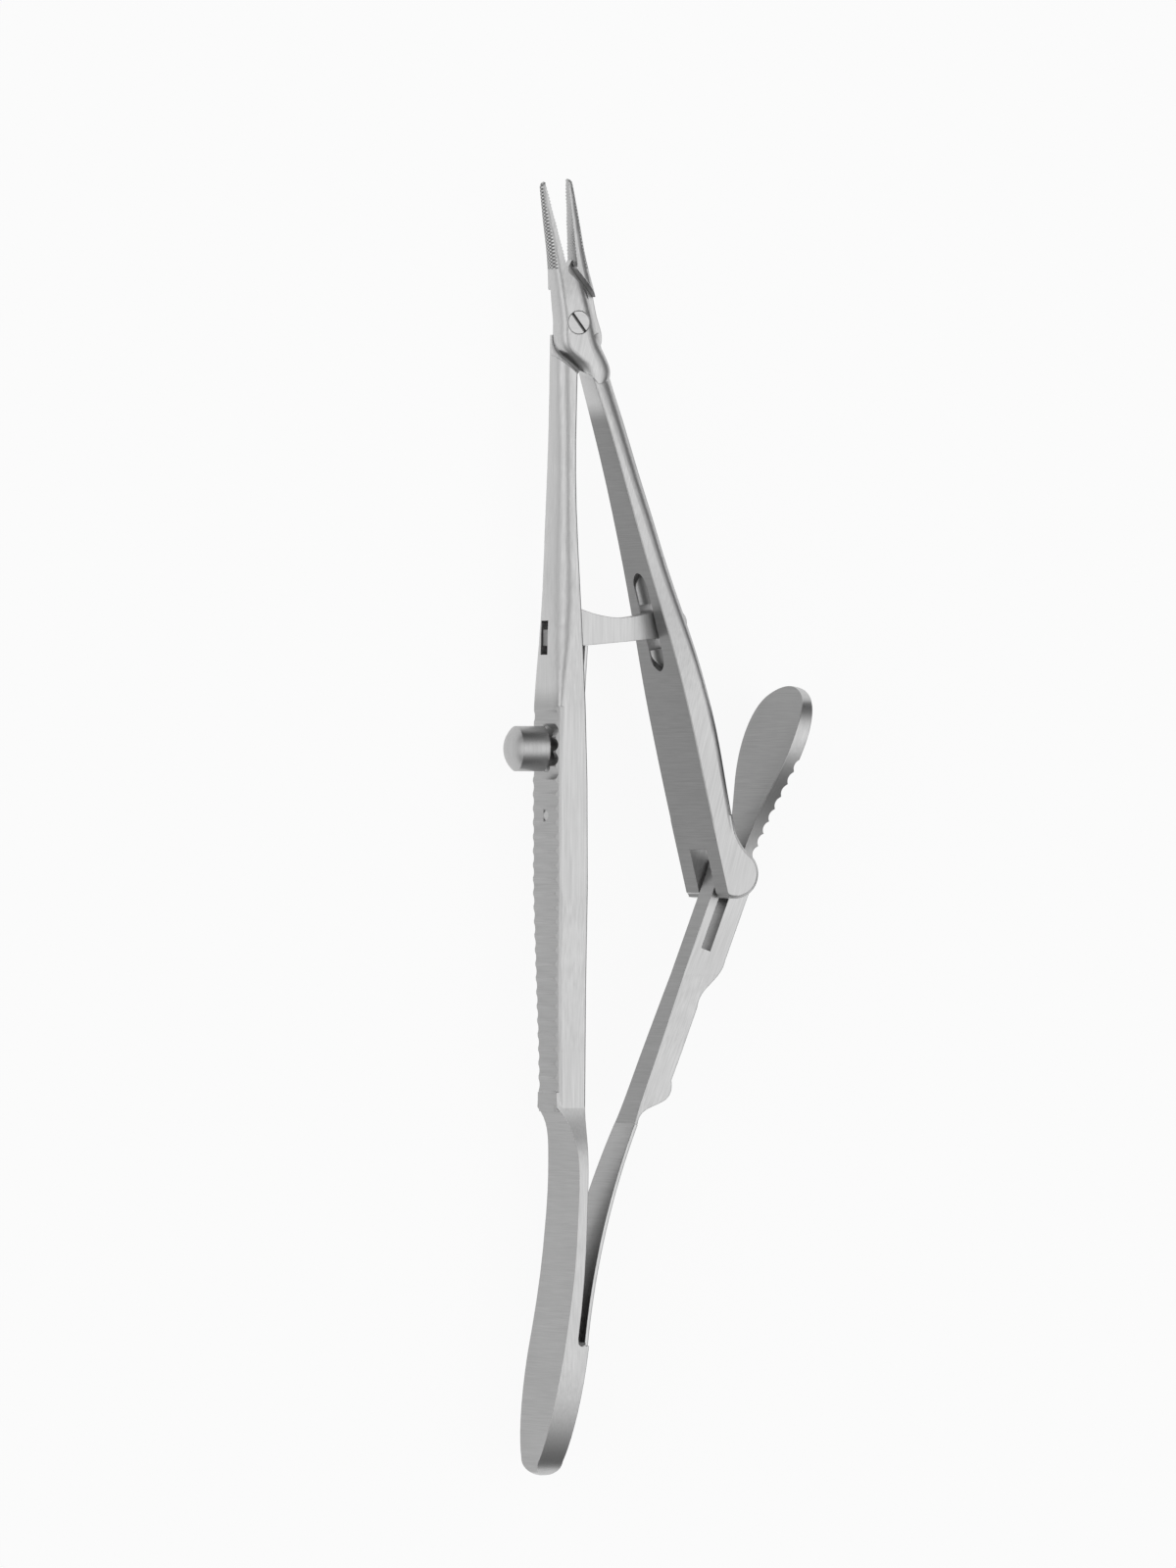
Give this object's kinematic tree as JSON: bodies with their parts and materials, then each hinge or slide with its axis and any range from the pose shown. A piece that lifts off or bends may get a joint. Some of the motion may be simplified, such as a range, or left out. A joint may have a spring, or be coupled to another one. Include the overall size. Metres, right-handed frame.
{
  "type": "surgical needle holder",
  "caption": "Surgical needle holder with ribbed spring handles, a thumb paddle, a cross bar catch freed by a push button, and fine toothed jaws on a screwed lap joint.",
  "frame": {"origin": "bottom centre of the whole, with the instrument lying on its side", "axes": "+Y from the tail to the jaw tips, +X from the frame arm to the thumb lever, +Z out of the plane in which the arms swing"},
  "size_m": [0.0386, 0.1602, 0.0158],
  "materials": {
    "arm_steel": "satin brushed",
    "spring_steel": "satin ground",
    "fitting_steel": "fine turned"
  },
  "bodies": {
    "frame": {"frame_arm": "arm_steel", "pivot_screw": "fitting_steel", "leaf_screw": "fitting_steel", "spring_leaf": "spring_steel", "catch_leaf": "spring_steel"},
    "jaw_arm": {"jaw_arm": "arm_steel", "fork_pin": "fitting_steel"},
    "lever": {"lever": "arm_steel"},
    "catch": {"catch_bar": "fitting_steel"},
    "button": {"release_button": "fitting_steel"}
  },
  "joints": [
    {"name": "jaw_pivot", "type": "hinge", "parent": "frame", "child": "jaw_arm", "pos_m": [-0.01045, 0.06224, 0.00791], "axis": [0, 0, 1], "range_deg": [-9.3, 0]},
    {"name": "lever_flex", "type": "hinge", "parent": "frame", "child": "lever", "pos_m": [-0.00985, -0.05576, 0.00791], "axis": [0, 0, 1], "range_deg": [0, 11.82], "stiffness_Nm_per_rad": 1.5, "deforming": ["spring_leaf"]},
    {"name": "button_press", "type": "slide", "parent": "frame", "child": "button", "axis": [1, 0, 0], "range_m": [0, 0.0005], "stiffness_N_per_m": 6000},
    {"name": "catch_tilt", "type": "hinge", "parent": "frame", "child": "catch", "pos_m": [-0.00955, 0.00524, 0.00791], "axis": [0, 0, 1], "range_deg": [-3.01, 0], "deforming": ["catch_leaf"]}
  ],
  "couplings": [
    {"joint": "lever_flex", "follows": "jaw_pivot", "ratio": -1.27},
    {"joint": "catch_tilt", "follows": "button_press", "rad_per_m": -104.72}
  ]
}
